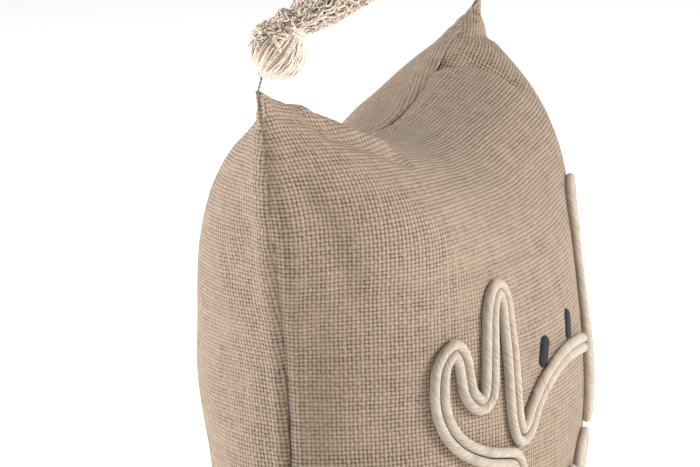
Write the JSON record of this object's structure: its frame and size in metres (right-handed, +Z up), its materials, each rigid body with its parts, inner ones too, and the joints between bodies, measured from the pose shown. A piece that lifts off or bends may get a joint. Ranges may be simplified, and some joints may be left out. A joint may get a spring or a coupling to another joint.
{
  "type": "tasselled hessian cushion",
  "caption": "Square hessian cushion that stands on its edge, with twisted-cord appliqué on the front, a zipped back over an inner pad, and a tassel on each corner.",
  "frame": {"origin": "on the floor under the cushion, midway across, on the flat of its lower edge, 8 mm in front of the seam", "axes": "+X to the right seen from the front, -Y out of the front panel, +Z up"},
  "size_m": [0.556, 0.2056, 0.4189],
  "materials": {
    "hessian": "coarse plain weave, matt",
    "cotton_cord": "soft twisted cotton, matt",
    "tassel_yarn": "loose curled cotton yarn, matt",
    "black_thread": "satin stitch, slight sheen",
    "tie_thread": "waxed thread",
    "calico": "fine plain weave, matt",
    "fibre": "loose polyester fibre",
    "zip_tape": "twill tape",
    "zip_coil": "satin nylon",
    "zip_metal": "antique brass"
  },
  "bodies": {
    "cushion": {"cover_front": "hessian", "cover_back_upper": "hessian", "cover_back_lower": "hessian", "pad_casing_front": "calico", "pad_casing_back": "calico", "pad_fibre_fill": "fibre", "branch_left_cord": "cotton_cord", "branch_right_cord": "cotton_cord", "upright_left_cord": "cotton_cord", "upright_right_cord": "cotton_cord", "lower_branch_left_cord": "cotton_cord", "lower_branch_right_cord": "cotton_cord", "stitched_bar_left": "black_thread", "stitched_bar_right": "black_thread", "zip_tape_upper": "zip_tape", "zip_tape_lower": "zip_tape", "zip_coil_upper": "zip_coil", "zip_coil_lower": "zip_coil", "zip_stop_left": "zip_metal", "zip_stop_right": "zip_metal"},
    "zip_slider": {"zip_slider_body": "zip_metal", "zip_slider_bail": "zip_metal"},
    "zip_pull": {"zip_pull_tab": "zip_metal"},
    "thread_top_left": {"tassel_top_left_tie_thread": "tie_thread"},
    "tassel_top_left": {"tassel_top_left_head": "tassel_yarn", "tassel_top_left_neck_binding": "tassel_yarn", "tassel_top_left_skirt": "tassel_yarn"},
    "thread_top_right": {"tassel_top_right_tie_thread": "tie_thread"},
    "tassel_top_right": {"tassel_top_right_head": "tassel_yarn", "tassel_top_right_neck_binding": "tassel_yarn", "tassel_top_right_skirt": "tassel_yarn"},
    "thread_bottom_left": {"tassel_bottom_left_tie_thread": "tie_thread"},
    "tassel_bottom_left": {"tassel_bottom_left_head": "tassel_yarn", "tassel_bottom_left_neck_binding": "tassel_yarn", "tassel_bottom_left_skirt": "tassel_yarn"},
    "thread_bottom_right": {"tassel_bottom_right_tie_thread": "tie_thread"},
    "tassel_bottom_right": {"tassel_bottom_right_head": "tassel_yarn", "tassel_bottom_right_neck_binding": "tassel_yarn", "tassel_bottom_right_skirt": "tassel_yarn"}
  },
  "joints": [
    {"name": "zip_slider_travel", "type": "hinge", "parent": "cushion", "child": "zip_slider", "pos_m": [0, -0.13545, 0.112], "axis": [0, 0, 1], "range_deg": [0, 53.1]},
    {"name": "zip_pull_flip", "type": "hinge", "parent": "zip_slider", "child": "zip_pull", "pos_m": [0.10386, 0.07239, 0.112], "axis": [0, 0, -1], "range_deg": [0, 175]},
    {"name": "tassel_top_left_swing", "type": "hinge", "parent": "cushion", "child": "thread_top_left", "pos_m": [-0.187, 0.008, 0.345], "axis": [0.9397, 0.3419, 0], "range_deg": [-145, 74]},
    {"name": "tassel_top_left_sway", "type": "hinge", "parent": "thread_top_left", "child": "tassel_top_left", "pos_m": [-0.18623, 0.00593, 0.35238], "axis": [0.3419, -0.9397, 0], "range_deg": [-45, 45]},
    {"name": "tassel_top_right_swing", "type": "hinge", "parent": "cushion", "child": "thread_top_right", "pos_m": [0.187, 0.008, 0.345], "axis": [0.9397, -0.3419, 0], "range_deg": [-145, 74]},
    {"name": "tassel_top_right_sway", "type": "hinge", "parent": "thread_top_right", "child": "tassel_top_right", "pos_m": [0.18623, 0.00593, 0.35238], "axis": [0.3419, 0.9397, 0], "range_deg": [-45, 45]},
    {"name": "tassel_bottom_left_swing", "type": "hinge", "parent": "cushion", "child": "thread_bottom_left", "pos_m": [-0.187, 0.008, 0.013], "axis": [-0.4789, 0.8779, 0], "range_deg": [0, 75]},
    {"name": "tassel_bottom_left_sway", "type": "hinge", "parent": "thread_bottom_left", "child": "tassel_bottom_left", "pos_m": [-0.19373, 0.00433, 0.01376], "axis": [0, 0, 1], "range_deg": [-40, 40]},
    {"name": "tassel_bottom_right_swing", "type": "hinge", "parent": "cushion", "child": "thread_bottom_right", "pos_m": [0.187, 0.008, 0.013], "axis": [-0.4789, -0.8779, 0], "range_deg": [0, 75]},
    {"name": "tassel_bottom_right_sway", "type": "hinge", "parent": "thread_bottom_right", "child": "tassel_bottom_right", "pos_m": [0.19373, 0.00433, 0.01376], "axis": [0, 0, -1], "range_deg": [-40, 40]}
  ]
}
